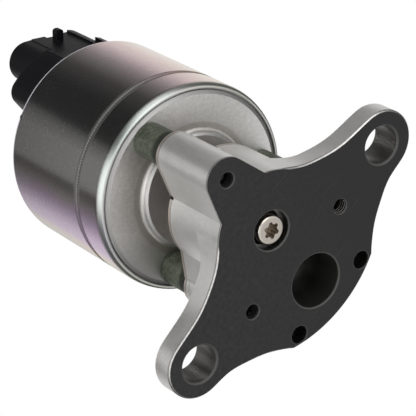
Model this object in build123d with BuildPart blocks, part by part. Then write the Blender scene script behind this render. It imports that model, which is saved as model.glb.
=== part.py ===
from build123d import *
import math
import os

os.makedirs("parts", exist_ok=True)

# Flange, seen on its gasket face
plate_t = 6.2
ear_hole = (37.2, 10.25)
ear_hole_r = 5.2
ear_centre = (37.75, 10.2)
ear_r = 9.1
ear_boss_r = 6.8
ear_boss_top = plate_t + 3.0
rim_r = 36.25
rim_corner = (16.4, 32.3)
lower_curve = [(12.5, -10.6), (16.9, -6.5), (22.4, -3.1), (28.5, -0.6)]
upper_curve = [(33.3, 20.1), (28.0, 22.6), (22.8, 25.9), (18.2, 30.2)]
edge_break = 0.45

# Can, the size that the ring of screws and the cap follow
can_r = 29.1
can_wall = 1.2
can_inner_r = can_r - can_wall
can_front_round = 2.5
can_line_offset = 11.8
lip_t = 1.2
screw_inset = 7.1
screw_ring_r = can_r - screw_inset
boss_angle = 35.3

# Valve body
body_top = 23.6
chamber_r = 16.4
notch_angle = 31.6
lobe_y = 0.2 - screw_ring_r
lobe_r = 6.1
boss_x = screw_ring_r * math.cos(math.radians(boss_angle))
boss_y = screw_ring_r * math.sin(math.radians(boss_angle))
boss_r = 5.9
boss_groove_z = body_top - 2.9
skirt_r = 4.2
hood_r = 10.2
hood_top = body_top - 4.0

# Gas ways
port_y = 22.74
port_r = 7.6
inlet_r = 5.45
gas_mouth = 0.25
seat_base = 3.6
seat_top = 9.4
seat_outer_r = 8.0
seat_bore_r = 4.9
seat_lip_z = seat_top - 1.5
seat_lip = 1.3
cavity_r = 9.6
cavity_top = body_top - 5.6
passage_r = 4.2
passage_z = seat_top + passage_r
dowel = (12.95, 30.5)
dowel_r = 2.6
dowel_depth = 4.5

# Spacers and screws
spacer_length = 12.0
plate_face = body_top + spacer_length
spacer_r = 4.85
screw_shank_r = 2.5
screw_thread_r = 2.1
screw_mouth = 0.15
screw_end = 3.8
screw_head_r = 4.2
screw_head_h = 4.2

# Solenoid, from its end plate up
can_front = plate_face + 0.3
end_plate_t = 4.8
end_plate_top = plate_face + end_plate_t
collar_gap = 1.15
collar_r = screw_ring_r - spacer_r - collar_gap
collar_h = 1.7
collar_face = plate_face - collar_h
seal_r = 7.0
seal_h = 4.1
seal_top = collar_face + seal_h
sleeve_r = 11.6
sleeve_wall = 0.6
pole_wall = 1.7
pole_gap = 1.3
pole_foot_r = screw_ring_r - screw_head_r - pole_gap
bobbin_gap = 1.4
bobbin_base = end_plate_top + screw_head_h + bobbin_gap
bobbin_length = 30.0
bobbin_top = bobbin_base + bobbin_length
bobbin_r = sleeve_r + pole_wall
bobbin_wall = 1.2
bobbin_flange_r = can_inner_r - 2.0
bobbin_flange_t = 1.5
winding_base = bobbin_base + bobbin_flange_t
winding_top = bobbin_top - bobbin_flange_t
coil_r = bobbin_flange_r - 0.5
lower_pole_h = 10.0
lower_pole_top = bobbin_base + lower_pole_h
upper_pole_t = 3.4
upper_top = bobbin_top + upper_pole_t
can_rear = upper_top + 1.9 + lip_t

# Valve train and what guides it
lift = 4.5
stem_r = 2.5
stem_base = 6.0
run = 0.03
bush_r = 5.0
pintle_face = 0.1
pintle_nose_r = 4.05
pintle_nose_round = 0.8
pintle_rim_r = 6.0
pintle_top = 12.8
seat_gap = 0.04
recess_r = 1.75
recess_lobe_r = 0.6
recess_depth = 2.4
armature_r = sleeve_r - sleeve_wall - 0.07
armature_base = bobbin_base + 4.0
armature_length = 18.6
armature_top = armature_base + armature_length
pocket_r = 7.0
pocket_floor = armature_top - 8.0
stem_top = pocket_floor + 0.8
plug_face = armature_top + lift + 0.1
upper_tube_base = armature_top - 2.6
spring_r = 5.4
spring_wire_r = 0.6

# Sensor cap
cap_r = can_r - 1.9
cap_base_top = can_rear + 1.8
block_r = cap_r - 0.4
block_top = can_rear + 12.2
block_left = -8.3
block_right = 22.5
block_corner_r = 4.2
dome_r = 13.5
dome_top = block_top + 0.8
chamber_in_r = dome_r - 2.0
chamber_in_top = dome_top - 2.5
seal_section = 0.8
seal_ring_r = can_inner_r - 1.6

# Connector, in a plane turned about the axis
connector_turn = 39.0
connector_shift = -2.3
connector_out = block_r - 7.93
shell_half = 6.65
shell_lean = 0.33
shell_left_r = 5.85
shell_right_r = 6.1
shell_top = can_rear + 24.5
socket_r = 4.6
socket_floor = shell_top - 13.0
pad_shift = connector_shift + 1.0
pad_half = 5.9
pad_out = connector_out + 5.85
pad_relief = 2.0
lug_shift = pad_shift + 0.2
lug_w = 2.4
lug_h = 3.2
lug_low = shell_top - 5.7
lug_high = lug_low + 2.1
lug_groove = (3.2, 0.5)
pin_pitch = 4.0
pin_tip = shell_top - 5.5
pin_base = upper_top + 3.6
pin_width = 1.6
pin_thick = 0.8
pin_places = (-2, -1, 0, 1, 2)
coil_places = (-2, 2)
lead_out = connector_out + pin_thick
slot_ceiling = can_rear + 6.5

# Position sensor
plunger_r = 2.0
wiper_base = upper_top + 1.6
wiper_top = wiper_base + 3.0
plunger_top = wiper_top + 4.0
sensor_spring_r = 3.2
sensor_wire_r = 0.35
board_out = 8.0
board_width = 12.0
board_thick = 1.0

notch = (
    chamber_r * math.sin(math.radians(notch_angle)),
    -chamber_r * math.cos(math.radians(notch_angle)),
)
screw_points = [(0, lobe_y), (boss_x, boss_y), (-boss_x, boss_y)]
connector = Plane(
    origin=(0, 0, 0),
    x_dir=(math.cos(math.radians(connector_turn)), math.sin(math.radians(connector_turn)), 0),
    z_dir=(0, 0, 1),
)


def ear_point(angle):
    """Point of the ear's round end at an angle in degrees."""
    turn = math.radians(angle)
    return (ear_centre[0] + ear_r * math.cos(turn), ear_centre[1] + ear_r * math.sin(turn))


def save(builder, label):
    """Names a finished piece and writes it to its own file."""
    builder.part.label = label
    export_step(builder.part, f"parts/{label}.step")


def turned(profile, axis_xy=(0, 0)):
    """Solid of revolution about a vertical axis, from radius and height pairs."""
    with BuildPart() as solid:
        with BuildSketch(Plane.XZ):
            with BuildLine():
                Polyline(*profile, close=True)
            make_face()
        revolve(axis=Axis.Z)
    return Pos(*axis_xy) * solid.part


def skirt(x, y, radius):
    """Concave ring that runs a round wall into the plate."""
    with BuildPart() as ring:
        with BuildSketch(Plane.XZ):
            with BuildLine():
                inner = (radius - 2.0, plate_t - 1.0)
                foot = (radius + skirt_r, plate_t - 1.0)
                edge = (radius + skirt_r, plate_t)
                wall = (radius, plate_t + skirt_r)
                head = (radius - 2.0, plate_t + skirt_r)
                Polyline(wall, head, inner, foot, edge)
                RadiusArc(edge, wall, skirt_r)
            make_face()
        revolve(axis=Axis.Z)
    return Pos(x, y) * ring.part


# Plan outlines
with BuildSketch() as lobe_plan:
    with Locations((0, lobe_y)):
        Circle(lobe_r)
    Polygon(notch, (-notch[0], notch[1]), (0, lobe_y), align=None)
    make_hull()

with BuildSketch() as flange_plan:
    with BuildLine():
        low = ear_point(-79)
        high = ear_point(80)
        Spline(*lower_curve, low, tangents=[(0.75, 0.66), (0.98, 0.19)])
        ThreePointArc(low, ear_point(0), high)
        Spline(high, *upper_curve, rim_corner, tangents=[(-0.985, 0.174), (-0.62, 0.78)])
        ThreePointArc(rim_corner, (0, rim_r), (-rim_corner[0], rim_corner[1]))
        Spline(
            *[(-x, y) for x, y in lower_curve],
            (-low[0], low[1]),
            tangents=[(-0.75, 0.66), (-0.98, 0.19)],
        )
        ThreePointArc((-low[0], low[1]), (-ear_point(0)[0], ear_point(0)[1]), (-high[0], high[1]))
        Spline(
            (-high[0], high[1]),
            *[(-x, y) for x, y in upper_curve],
            (-rim_corner[0], rim_corner[1]),
            tangents=[(0.985, 0.174), (0.62, 0.78)],
        )
        Line((-lower_curve[0][0], lower_curve[0][1]), lower_curve[0])
    make_face()
    Circle(chamber_r)
    add(lobe_plan.sketch)

with BuildSketch() as body_plan:
    Circle(chamber_r)
    add(lobe_plan.sketch)
    for side in (1, -1):
        with BuildSketch(mode=Mode.PRIVATE) as web:
            Circle(chamber_r - 2.2)
            with Locations((side * boss_x, boss_y)):
                Circle(boss_r - 0.9)
            make_hull()
        add(web.sketch)
        with Locations((side * boss_x, boss_y)):
            Circle(boss_r)

# Base casting
with BuildPart() as base:
    extrude(flange_plan.sketch, amount=plate_t)
    face_edges = base.faces().sort_by(Axis.Z)[0].outer_wire().edges()
    chamfer(face_edges, edge_break)
    extrude(body_plan.sketch, amount=body_top)
    chamfer(base.faces().sort_by(Axis.Z)[-1].outer_wire().edges(), 0.6)
    for x, y, radius in [(0, 0, chamber_r), (boss_x, boss_y, boss_r), (-boss_x, boss_y, boss_r)]:
        with BuildPart(mode=Mode.PRIVATE) as foot:
            extrude(flange_plan.sketch, amount=plate_t + skirt_r)
            add(skirt(x, y, radius), mode=Mode.INTERSECT)
        add(foot.part)
    with BuildPart(mode=Mode.PRIVATE) as hood:
        with BuildSketch():
            with Locations((0, port_y)):
                Circle(hood_r)
            with Locations((0, port_y / 2)):
                Rectangle(2 * hood_r - 2.4, port_y)
        extrude(amount=hood_top)
        chamfer(hood.faces().sort_by(Axis.Z)[-1].outer_wire().edges(), 1.6)
    add(hood.part)
    for x in (boss_x, -boss_x):
        with Locations((x, boss_y, boss_groove_z)):
            Cylinder(boss_r + 0.5, 0.4, mode=Mode.SUBTRACT)
            Cylinder(boss_r - 0.35, 0.4)
    add(
        turned([
            (0, -1), (inlet_r + gas_mouth + 1, -1), (inlet_r, gas_mouth), (inlet_r, seat_base),
            (seat_outer_r, seat_base), (seat_outer_r, seat_top + 0.1), (cavity_r, seat_top + 0.1),
            (cavity_r, cavity_top), (bush_r, cavity_top), (bush_r, body_top + 1), (0, body_top + 1),
        ]),
        mode=Mode.SUBTRACT,
    )
    add(
        turned([
            (0, -1), (port_r + gas_mouth + 1, -1), (port_r, gas_mouth), (port_r, seat_top),
            (0, seat_top),
        ], (0, port_y)),
        mode=Mode.SUBTRACT,
    )
    with Locations((0, port_y, seat_top)):
        Sphere(port_r, mode=Mode.SUBTRACT)
    with Locations((0, port_y / 2, passage_z)):
        Cylinder(passage_r, port_y, rotation=(90, 0, 0), mode=Mode.SUBTRACT)
    for point in screw_points:
        add(
            turned([
                (0, -1), (screw_thread_r + screw_mouth + 1, -1), (screw_thread_r, screw_mouth),
                (screw_thread_r, body_top + 1), (0, body_top + 1),
            ], point),
            mode=Mode.SUBTRACT,
        )
    for side in (1, -1):
        add(turned([
            (0, plate_t - 1), (ear_boss_r, plate_t - 1), (ear_boss_r, ear_boss_top - edge_break),
            (ear_boss_r - edge_break, ear_boss_top), (0, ear_boss_top),
        ], (side * ear_hole[0], ear_hole[1])))
        add(
            turned([
                (0, -1), (ear_hole_r + edge_break + 1, -1), (ear_hole_r, edge_break),
                (ear_hole_r, ear_boss_top + 1), (0, ear_boss_top + 1),
            ], (side * ear_hole[0], ear_hole[1])),
            mode=Mode.SUBTRACT,
        )
        with Locations((side * dowel[0], dowel[1], dowel_depth / 2)):
            Cylinder(dowel_r, dowel_depth, mode=Mode.SUBTRACT)
save(base, "base_casting")

with BuildPart() as seat:
    add(turned([
        (seat_bore_r, seat_base), (seat_outer_r, seat_base), (seat_outer_r, seat_top),
        (seat_bore_r + seat_lip + 0.2, seat_top), (seat_bore_r + seat_lip, seat_lip_z + seat_lip),
        (seat_bore_r, seat_lip_z),
    ]))
save(seat, "valve_seat")

# Valve train
with BuildPart() as pintle:
    cone_foot_z = seat_lip_z - (seat_bore_r - pintle_nose_r) + seat_gap
    rim_z = cone_foot_z + pintle_rim_r - pintle_nose_r
    add(turned([
        (0, pintle_face), (pintle_nose_r, pintle_face), (pintle_nose_r, cone_foot_z),
        (pintle_rim_r, rim_z), (pintle_rim_r, rim_z + 0.5),
        (stem_r + 1.6, pintle_top - 1.6), (stem_r + 0.9, pintle_top), (stem_r, pintle_top),
        (stem_r, stem_base), (0, stem_base),
    ]))
    fillet(pintle.edges().filter_by(GeomType.CIRCLE).sort_by(Axis.Z)[0], pintle_nose_round)
    with BuildSketch(Plane.XY.offset(pintle_face)):
        Circle(recess_r)
        with PolarLocations(recess_r, 6):
            Circle(recess_lobe_r)
    extrude(amount=recess_depth, mode=Mode.SUBTRACT)
save(pintle, "pintle")

with BuildPart() as stem:
    with Locations((0, 0, (stem_base + stem_top) / 2)):
        Cylinder(stem_r, stem_top - stem_base)
    chamfer(stem.edges().sort_by(Axis.Z)[-1], 0.4)
save(stem, "stem")

with BuildPart() as armature:
    add(turned([
        (stem_r, armature_base), (armature_r - 0.5, armature_base),
        (armature_r, armature_base + 0.5), (armature_r, armature_top - 0.5),
        (armature_r - 0.5, armature_top), (pocket_r, armature_top),
        (pocket_r, pocket_floor), (stem_r, pocket_floor),
    ]))
save(armature, "armature")

# Stem guide and seal
with BuildPart() as bush:
    add(turned([
        (stem_r + run, cavity_top), (bush_r, cavity_top), (bush_r, body_top),
        (bush_r + 2.2, body_top), (bush_r + 2.2, body_top + 1.4), (bush_r - 1, body_top + 1.4),
        (bush_r - 1, body_top + 2.8), (stem_r + run, body_top + 2.8),
    ]))
save(bush, "stem_bush")

with BuildPart() as shield:
    add(turned([
        (bush_r - 1, body_top + 1.4), (9.4, body_top + 1.4), (9.4, body_top + 0.5),
        (10.0, body_top + 0.5), (10.0, body_top + 2.2), (bush_r - 1, body_top + 2.2),
    ]))
save(shield, "stem_shield")

with BuildPart() as seal:
    add(turned([
        (stem_r + run, plate_face), (stem_r + 0.7, collar_face + 0.7), (seal_r, collar_face + 0.7),
        (seal_r, seal_top), (stem_r + 1.0, seal_top), (stem_r + 1.0, plate_face + 1.0),
        (stem_r + run, plate_face + 0.8),
    ]))
save(seal, "shaft_seal")

with BuildPart() as retainer:
    add(turned([
        (stem_r + 0.8, collar_face), (seal_r, collar_face), (seal_r, collar_face + 0.7),
        (stem_r + 0.8, collar_face + 0.7),
    ]))
save(retainer, "seal_retainer")

# Spacers and screws
for letter, point in zip("abc", screw_points):
    with BuildPart() as spacer:
        add(turned([
            (screw_shank_r, body_top), (spacer_r - 0.3, body_top), (spacer_r, body_top + 0.3),
            (spacer_r, plate_face - 0.3), (spacer_r - 0.3, plate_face), (screw_shank_r, plate_face),
        ], point))
    save(spacer, f"spacer_{letter}")

with BuildPart() as screws:
    for point in screw_points:
        with BuildPart(mode=Mode.PRIVATE) as screw:
            add(turned([
                (0, screw_end), (screw_thread_r - 0.5, screw_end), (screw_thread_r, screw_end + 0.5),
                (screw_thread_r, body_top), (screw_shank_r, body_top),
                (screw_shank_r, end_plate_top), (screw_head_r, end_plate_top),
                (screw_head_r, end_plate_top + screw_head_h - 0.5),
                (screw_head_r - 0.5, end_plate_top + screw_head_h),
                (0, end_plate_top + screw_head_h),
            ], point))
            with BuildSketch(Plane.XY.offset(end_plate_top + screw_head_h)):
                with Locations(point):
                    RegularPolygon(2.3, 6)
            extrude(amount=-2.2, mode=Mode.SUBTRACT)
        add(screw.part)
save(screws, "mounting_screws")

# Solenoid can
with BuildPart() as can:
    with BuildSketch(Plane.XZ):
        with BuildLine():
            line_z = can_front + can_line_offset
            Polyline(
                (can_inner_r + 0.1, can_front), (can_inner_r, can_front),
                (can_inner_r, can_rear - lip_t), (cap_r, can_rear - lip_t),
                (cap_r, can_rear), (can_r - 1.5, can_rear),
            )
            EllipticalCenterArc((can_r - 1.5, can_rear - 1.8), 1.5, 1.8, start_angle=0, arc_size=90)
            Polyline(
                (can_r, can_rear - 1.8), (can_r, line_z + 0.6), (can_r - 0.25, line_z + 0.3),
                (can_r - 0.25, line_z - 0.3), (can_r, line_z - 0.6),
                (can_r, can_front + can_front_round),
            )
            EllipticalCenterArc(
                (can_inner_r + 0.1, can_front + can_front_round), can_wall - 0.1, can_front_round,
                start_angle=270, arc_size=90,
            )
        make_face()
    revolve(axis=Axis.Z)
    with PolarLocations(can_r - 0.35, 3, start_angle=5):
        with Locations((0, 0, can_rear - 1.9)):
            Sphere(0.8)
    with Locations((0, 0, (can_front + can_rear) / 2)):
        Cylinder(cap_r, can_rear - can_front + 2, mode=Mode.SUBTRACT)
        Cylinder(can_inner_r, can_rear - can_front - 2 * lip_t, mode=Mode.SUBTRACT)
save(can, "solenoid_can")

# End plate with its collar
with BuildPart() as end_plate:
    with BuildSketch(Plane.XZ):
        with BuildLine():
            Polyline(
                (collar_r + 1.2, plate_face), (can_inner_r - 1.6, plate_face),
                (can_inner_r - 0.65, plate_face + 0.7), (can_inner_r - 0.5, can_front + 0.9),
                (can_inner_r - 0.25, can_front + 0.9), (can_inner_r - 0.2, can_front),
                (can_inner_r, can_front), (can_inner_r, end_plate_top), (stem_r + 0.9, end_plate_top),
                (stem_r + 0.9, seal_top), (seal_r, seal_top), (seal_r, collar_face),
                (collar_r - 0.6, collar_face), (collar_r, collar_face + 0.5),
            )
            RadiusArc((collar_r, collar_face + 0.5), (collar_r + 1.2, plate_face), 1.2)
        make_face()
    revolve(axis=Axis.Z)
    with Locations(*[(x, y, end_plate_top) for x, y in screw_points]):
        Hole(screw_shank_r)
save(end_plate, "end_plate")

# Magnetic circuit
with BuildPart() as lower_pole:
    add(turned([
        (sleeve_r, end_plate_top), (pole_foot_r, end_plate_top), (pole_foot_r, bobbin_base),
        (bobbin_r, bobbin_base), (bobbin_r, lower_pole_top - 3.0), (sleeve_r + 0.5, lower_pole_top),
        (sleeve_r, lower_pole_top),
    ]))
save(lower_pole, "lower_pole")

with BuildPart() as sleeve:
    add(turned([
        (sleeve_r - sleeve_wall, end_plate_top), (sleeve_r, end_plate_top),
        (sleeve_r, bobbin_top), (sleeve_r - sleeve_wall, bobbin_top),
    ]))
save(sleeve, "armature_sleeve")

with BuildPart() as upper_pole:
    add(turned([
        (plunger_r + 0.05, plug_face), (sleeve_r - sleeve_wall, plug_face),
        (sleeve_r - sleeve_wall, bobbin_top), (sleeve_r, bobbin_top), (sleeve_r, upper_tube_base),
        (bobbin_r, upper_tube_base), (bobbin_r, bobbin_top), (can_inner_r, bobbin_top),
        (can_inner_r, upper_top), (plunger_r + 0.05, upper_top),
    ]))
    with Locations(connector):
        for u in coil_places:
            with Locations((connector_shift + u * pin_pitch, -lead_out, upper_top)):
                Cylinder(pin_width, 20, mode=Mode.SUBTRACT)
save(upper_pole, "upper_pole")

with BuildPart() as bobbin:
    core_r = bobbin_r + bobbin_wall
    add(turned([
        (bobbin_r, bobbin_base), (bobbin_flange_r, bobbin_base), (bobbin_flange_r, winding_base),
        (core_r, winding_base), (core_r, winding_top), (bobbin_flange_r, winding_top),
        (bobbin_flange_r, bobbin_top), (bobbin_r, bobbin_top),
    ]))
    with Locations(connector):
        for u in coil_places:
            with Locations((connector_shift + u * pin_pitch, -lead_out, bobbin_top)):
                Box(pin_width, pin_thick, 2 * bobbin_flange_t, mode=Mode.SUBTRACT)
save(bobbin, "bobbin")

with BuildPart() as coil:
    add(turned([
        (core_r, winding_base), (coil_r, winding_base), (coil_r, winding_top), (core_r, winding_top),
    ]))
save(coil, "coil_winding")

for letter, u in zip("ab", coil_places):
    with BuildPart() as lead:
        with Locations(connector):
            with Locations((connector_shift + u * pin_pitch, -lead_out, winding_top)):
                Box(
                    pin_width, pin_thick, pin_base + 3 - winding_top,
                    align=(Align.CENTER, Align.CENTER, Align.MIN),
                )
    save(lead, f"coil_lead_{letter}")


def coil_spring(mean_r, wire_r, low, high, turns):
    """Compression spring standing between two heights."""
    length = high - low - 2 * wire_r
    with BuildPart() as spring:
        with BuildLine() as path:
            Helix(pitch=length / turns, height=length, radius=mean_r, center=(0, 0, low + wire_r))
        with BuildSketch(Plane(origin=path.line @ 0, z_dir=path.line % 0)):
            Circle(wire_r)
        sweep()
    return spring


return_spring = coil_spring(spring_r, spring_wire_r, pocket_floor, plug_face, 4)
save(return_spring, "return_spring")

# Sensor cap with the connector shell
with BuildPart() as cap:
    add(turned([
        (0, upper_top), (can_inner_r, upper_top), (can_inner_r, can_rear - lip_t),
        (cap_r, can_rear - lip_t), (cap_r, cap_base_top - 0.6), (cap_r - 0.6, cap_base_top),
        (0, cap_base_top),
    ]))
    with BuildSketch(Plane.XY.offset(cap_base_top)) as block_plan:
        Circle(block_r)
        with Locations((block_left, 0)):
            Rectangle(
                block_right - block_left, block_r,
                align=(Align.MIN, Align.MAX), mode=Mode.INTERSECT,
            )
        fillet(block_plan.vertices().group_by(Axis.X)[0].sort_by(Axis.Y)[0], block_corner_r)
    extrude(amount=block_top - cap_base_top)
    with Locations(connector):
        with Locations((pad_shift, -pad_out, cap_base_top)):
            Box(
                2 * (pad_half + pad_relief), block_r, block_top - cap_base_top,
                align=(Align.CENTER, Align.MAX, Align.MIN), mode=Mode.SUBTRACT,
            )
    add(turned([
        (0, cap_base_top), (dome_r, cap_base_top), (dome_r, dome_top - 1.5),
        (dome_r - 1.5, dome_top), (0, dome_top),
    ]))
    with BuildSketch(connector.offset(cap_base_top)):
        with Locations((connector_shift - shell_half, shell_lean - connector_out)):
            Circle(shell_left_r)
        with Locations((connector_shift + shell_half, -shell_lean - connector_out)):
            Circle(shell_right_r)
        make_hull()
        with Locations((pad_shift, -pad_out)):
            Rectangle(2 * pad_half, 2, align=(Align.CENTER, Align.MAX), mode=Mode.SUBTRACT)
            Rectangle(2 * pad_half, 2, align=(Align.CENTER, Align.MIN))
    extrude(amount=shell_top - cap_base_top)
    with BuildSketch(connector.offset(lug_low)) as lug_plan:
        with Locations((lug_shift, 0.8 - pad_out)):
            Rectangle(lug_w, lug_h + 0.8, align=(Align.CENTER, Align.MAX))
        fillet(lug_plan.vertices().group_by(Axis.Y)[0], 0.9)
    extrude(amount=lug_high - lug_low)
    with Locations(connector):
        with Locations((pad_shift, -pad_out, shell_top)):
            Box(
                *lug_groove, shell_top - lug_high,
                align=(Align.CENTER, Align.MIN, Align.MAX), mode=Mode.SUBTRACT,
            )
    with BuildSketch(connector.offset(socket_floor)):
        with Locations((connector_shift, -connector_out)):
            SlotCenterToCenter(2 * shell_half, 2 * socket_r)
    extrude(amount=shell_top - socket_floor, mode=Mode.SUBTRACT)
    with BuildSketch(connector.offset(upper_top)):
        with Locations((connector_shift, -connector_out)):
            SlotOverall(5 * pin_pitch + 1, 5.2)
        with Locations((connector_shift, -connector_out)):
            Rectangle(
                2 * pin_pitch + 3, connector_out - board_out,
                align=(Align.CENTER, Align.MIN),
            )
        with Locations((connector_shift, -board_out)):
            Rectangle(board_width, 2 * board_thick, align=(Align.CENTER, Align.CENTER))
    extrude(amount=slot_ceiling - upper_top, mode=Mode.SUBTRACT)
    with BuildSketch(Plane.XY.offset(upper_top)):
        Circle(chamber_in_r)
    extrude(amount=chamber_in_top - upper_top, mode=Mode.SUBTRACT)
    with Locations(connector):
        with Locations(*[
            (connector_shift + u * pin_pitch, -connector_out, slot_ceiling) for u in pin_places
        ]):
            Box(
                pin_width, pin_thick, socket_floor - slot_ceiling,
                align=(Align.CENTER, Align.CENTER, Align.MIN), mode=Mode.SUBTRACT,
            )
    add(
        turned([
            (seal_ring_r - seal_section, upper_top), (seal_ring_r + seal_section, upper_top),
            (seal_ring_r + seal_section, upper_top + 2 * seal_section),
            (seal_ring_r - seal_section, upper_top + 2 * seal_section),
        ]),
        mode=Mode.SUBTRACT,
    )
save(cap, "sensor_cap")

with BuildPart() as cap_seal:
    with Locations((0, 0, upper_top + seal_section)):
        Torus(seal_ring_r, seal_section)
save(cap_seal, "cap_seal")

for number, u in enumerate(pin_places, start=1):
    with BuildPart() as terminal:
        with Locations(connector):
            with Locations((connector_shift + u * pin_pitch, -connector_out, pin_base)):
                Box(
                    pin_width, pin_thick, pin_tip - pin_base,
                    align=(Align.CENTER, Align.CENTER, Align.MIN),
                )
        chamfer(terminal.faces().sort_by(Axis.Z)[-1].edges(), 0.25)
    save(terminal, f"terminal_{number}")

# Position sensor
with BuildPart() as board:
    with Locations(connector):
        with Locations((connector_shift, -board_out, wiper_base)):
            Box(
                board_width, board_thick, slot_ceiling - wiper_base,
                align=(Align.CENTER, Align.MAX, Align.MIN),
            )
save(board, "sensor_board")

with BuildPart() as board_leads:
    with Locations(connector):
        for u in pin_places[1:-1]:
            with Locations((connector_shift + u * pin_pitch, -board_out - board_thick, pin_base)):
                Box(
                    pin_width, connector_out - pin_thick / 2 - board_out - board_thick, 1.0,
                    align=(Align.CENTER, Align.MAX, Align.MIN),
                )
save(board_leads, "sensor_leads")

with BuildPart() as plunger:
    with Locations((0, 0, (stem_top + plunger_top) / 2)):
        Cylinder(plunger_r, plunger_top - stem_top)
    fillet(plunger.edges().sort_by(Axis.Z)[-1], 0.8)
save(plunger, "sensor_plunger")

with BuildPart() as wiper:
    with Locations((0, 0, (wiper_base + wiper_top) / 2)):
        Cylinder(plunger_r + 2.2, wiper_top - wiper_base)
    with Locations(connector):
        with Locations((connector_shift / 2, 0.05 - board_out, wiper_base + 0.5)):
            Box(
                4.0, board_out - plunger_r - 1.5, wiper_top - wiper_base - 1.0,
                align=(Align.CENTER, Align.MIN, Align.MIN),
            )
    with Locations((0, 0, wiper_top)):
        Hole(plunger_r)
save(wiper, "sensor_wiper")

sensor_spring = coil_spring(sensor_spring_r, sensor_wire_r, wiper_top, chamber_in_top, 4)
save(sensor_spring, "sensor_spring")
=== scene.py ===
import math

import bpy
from mathutils import Matrix, Vector


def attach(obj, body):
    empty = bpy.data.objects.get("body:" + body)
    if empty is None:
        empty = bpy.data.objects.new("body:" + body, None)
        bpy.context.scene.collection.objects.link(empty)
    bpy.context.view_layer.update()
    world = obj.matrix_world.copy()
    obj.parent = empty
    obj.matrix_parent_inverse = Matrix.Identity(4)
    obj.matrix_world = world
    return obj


bl_info = {
    "name": "Solenoid exhaust valve",
    "version": (1, 0, 0),
    "blender": (4, 5, 0),
    "location": "View3D > Sidebar > Valve",
    "description": "Finishes, small details and studio for a solenoid exhaust valve",
    "category": "Object",
}

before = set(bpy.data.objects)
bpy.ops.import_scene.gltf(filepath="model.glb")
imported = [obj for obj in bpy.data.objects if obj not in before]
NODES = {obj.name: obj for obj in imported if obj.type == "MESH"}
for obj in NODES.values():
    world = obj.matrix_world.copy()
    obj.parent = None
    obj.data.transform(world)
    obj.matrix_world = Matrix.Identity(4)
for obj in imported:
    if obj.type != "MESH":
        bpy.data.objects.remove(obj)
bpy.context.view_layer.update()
MM = 0.001

# Heights on the CAD nodes
FACE_TOP = 0.03 * MM  # the gasket face lies below this
MOUTH_TOP = 0.5 * MM  # the chamfered mouths of the holes lie below this
PINTLE_FACE = 0.13 * MM  # the pintle's flat end lies below this
TINT_LINE = 22.05 * MM  # the casting's heat-tinted rim starts here
SPACER_FOOT = 26.2 * MM  # the spacers are darkest below this
FRONT_ROUND = 38.2 * MM  # the can's two rounded rims start here and at REAR_ROUND
REAR_ROUND = 80.8 * MM

# Radii about the valve's axis
CAN_RADIUS = 29.1 * MM
PLATE_BORDER = 26.3 * MM
COLLAR_RADIUS = 16.3 * MM
COLLAR_FOOT = 17.5 * MM

# Places in plan; each stands for its mirror twin as well
NOTCH = (8.59 * MM, -13.97 * MM)  # where the screw lobe runs into the round chamber
TAPPED_HOLES = ((0, -21.8 * MM), (17.955 * MM, 12.713 * MM))
TAPPED_RADIUS = 2.1 * MM

# Holes in the gasket face: x, y, radius and how light the painted shade inside is
FACE_HOLES = (
    (0, 0, 5.75 * MM, 0.09),
    (0, 22.74 * MM, 7.95 * MM, 0.15),
    (37.2 * MM, 10.25 * MM, 5.7 * MM, 0.22),
    *((x, y, TAPPED_RADIUS + 0.2 * MM, 0.05) for x, y in TAPPED_HOLES),
    (12.95 * MM, 30.5 * MM, 2.7 * MM, 0.06),
)

# Bearings in plan, in degrees from +X towards +Y
VIEW_BEARING = 255  # from the valve's axis to the camera
DARK_BAND_BEARING = 212
COAT_LIGHT_BEARING = 200
PLATE_SHADE_BEARING = 150

INNER_METALS = ("stem", "armature", "lower_pole", "upper_pole", "armature_sleeve", "stem_shield",
                "seal_retainer", "valve_seat", "return_spring", "sensor_spring", "mounting_screws")
TINNED_METALS = ("terminal_1", "terminal_2", "terminal_3", "terminal_4", "terminal_5",
                 "coil_lead_a", "coil_lead_b", "sensor_leads")


# Sizes and colours that a user would change
class ValveFinishes(bpy.types.PropertyGroup):
    """Colours of the visible materials."""

    casting: bpy.props.FloatVectorProperty(
        name="Casting", description="Bare cast metal of the valve body and flange",
        subtype="COLOR", size=3, min=0, max=1, default=(0.88, 0.865, 0.84))
    coat: bpy.props.FloatVectorProperty(
        name="Gasket coat", description="Dark coat on the gasket face",
        subtype="COLOR", size=3, min=0, max=1, default=(0.028, 0.0275, 0.028))
    plating: bpy.props.FloatVectorProperty(
        name="Can plating", description="Bright plating of the can",
        subtype="COLOR", size=3, min=0, max=1, default=(0.56, 0.55, 0.54))
    end_plate: bpy.props.FloatVectorProperty(
        name="End plate", description="Satin steel under the can",
        subtype="COLOR", size=3, min=0, max=1, default=(0.86, 0.85, 0.83))
    spacer: bpy.props.FloatVectorProperty(
        name="Spacers", description="Olive oxide on the three spacers",
        subtype="COLOR", size=3, min=0, max=1, default=(0.085, 0.095, 0.070))
    pintle: bpy.props.FloatVectorProperty(
        name="Pintle", description="Stainless steel of the pintle",
        subtype="COLOR", size=3, min=0, max=1, default=(0.66, 0.61, 0.55))
    plastic: bpy.props.FloatVectorProperty(
        name="Cap plastic", description="Black moulded plastic of the sensor cap",
        subtype="COLOR", size=3, min=0, max=1, default=(0.005, 0.005, 0.006))


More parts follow.
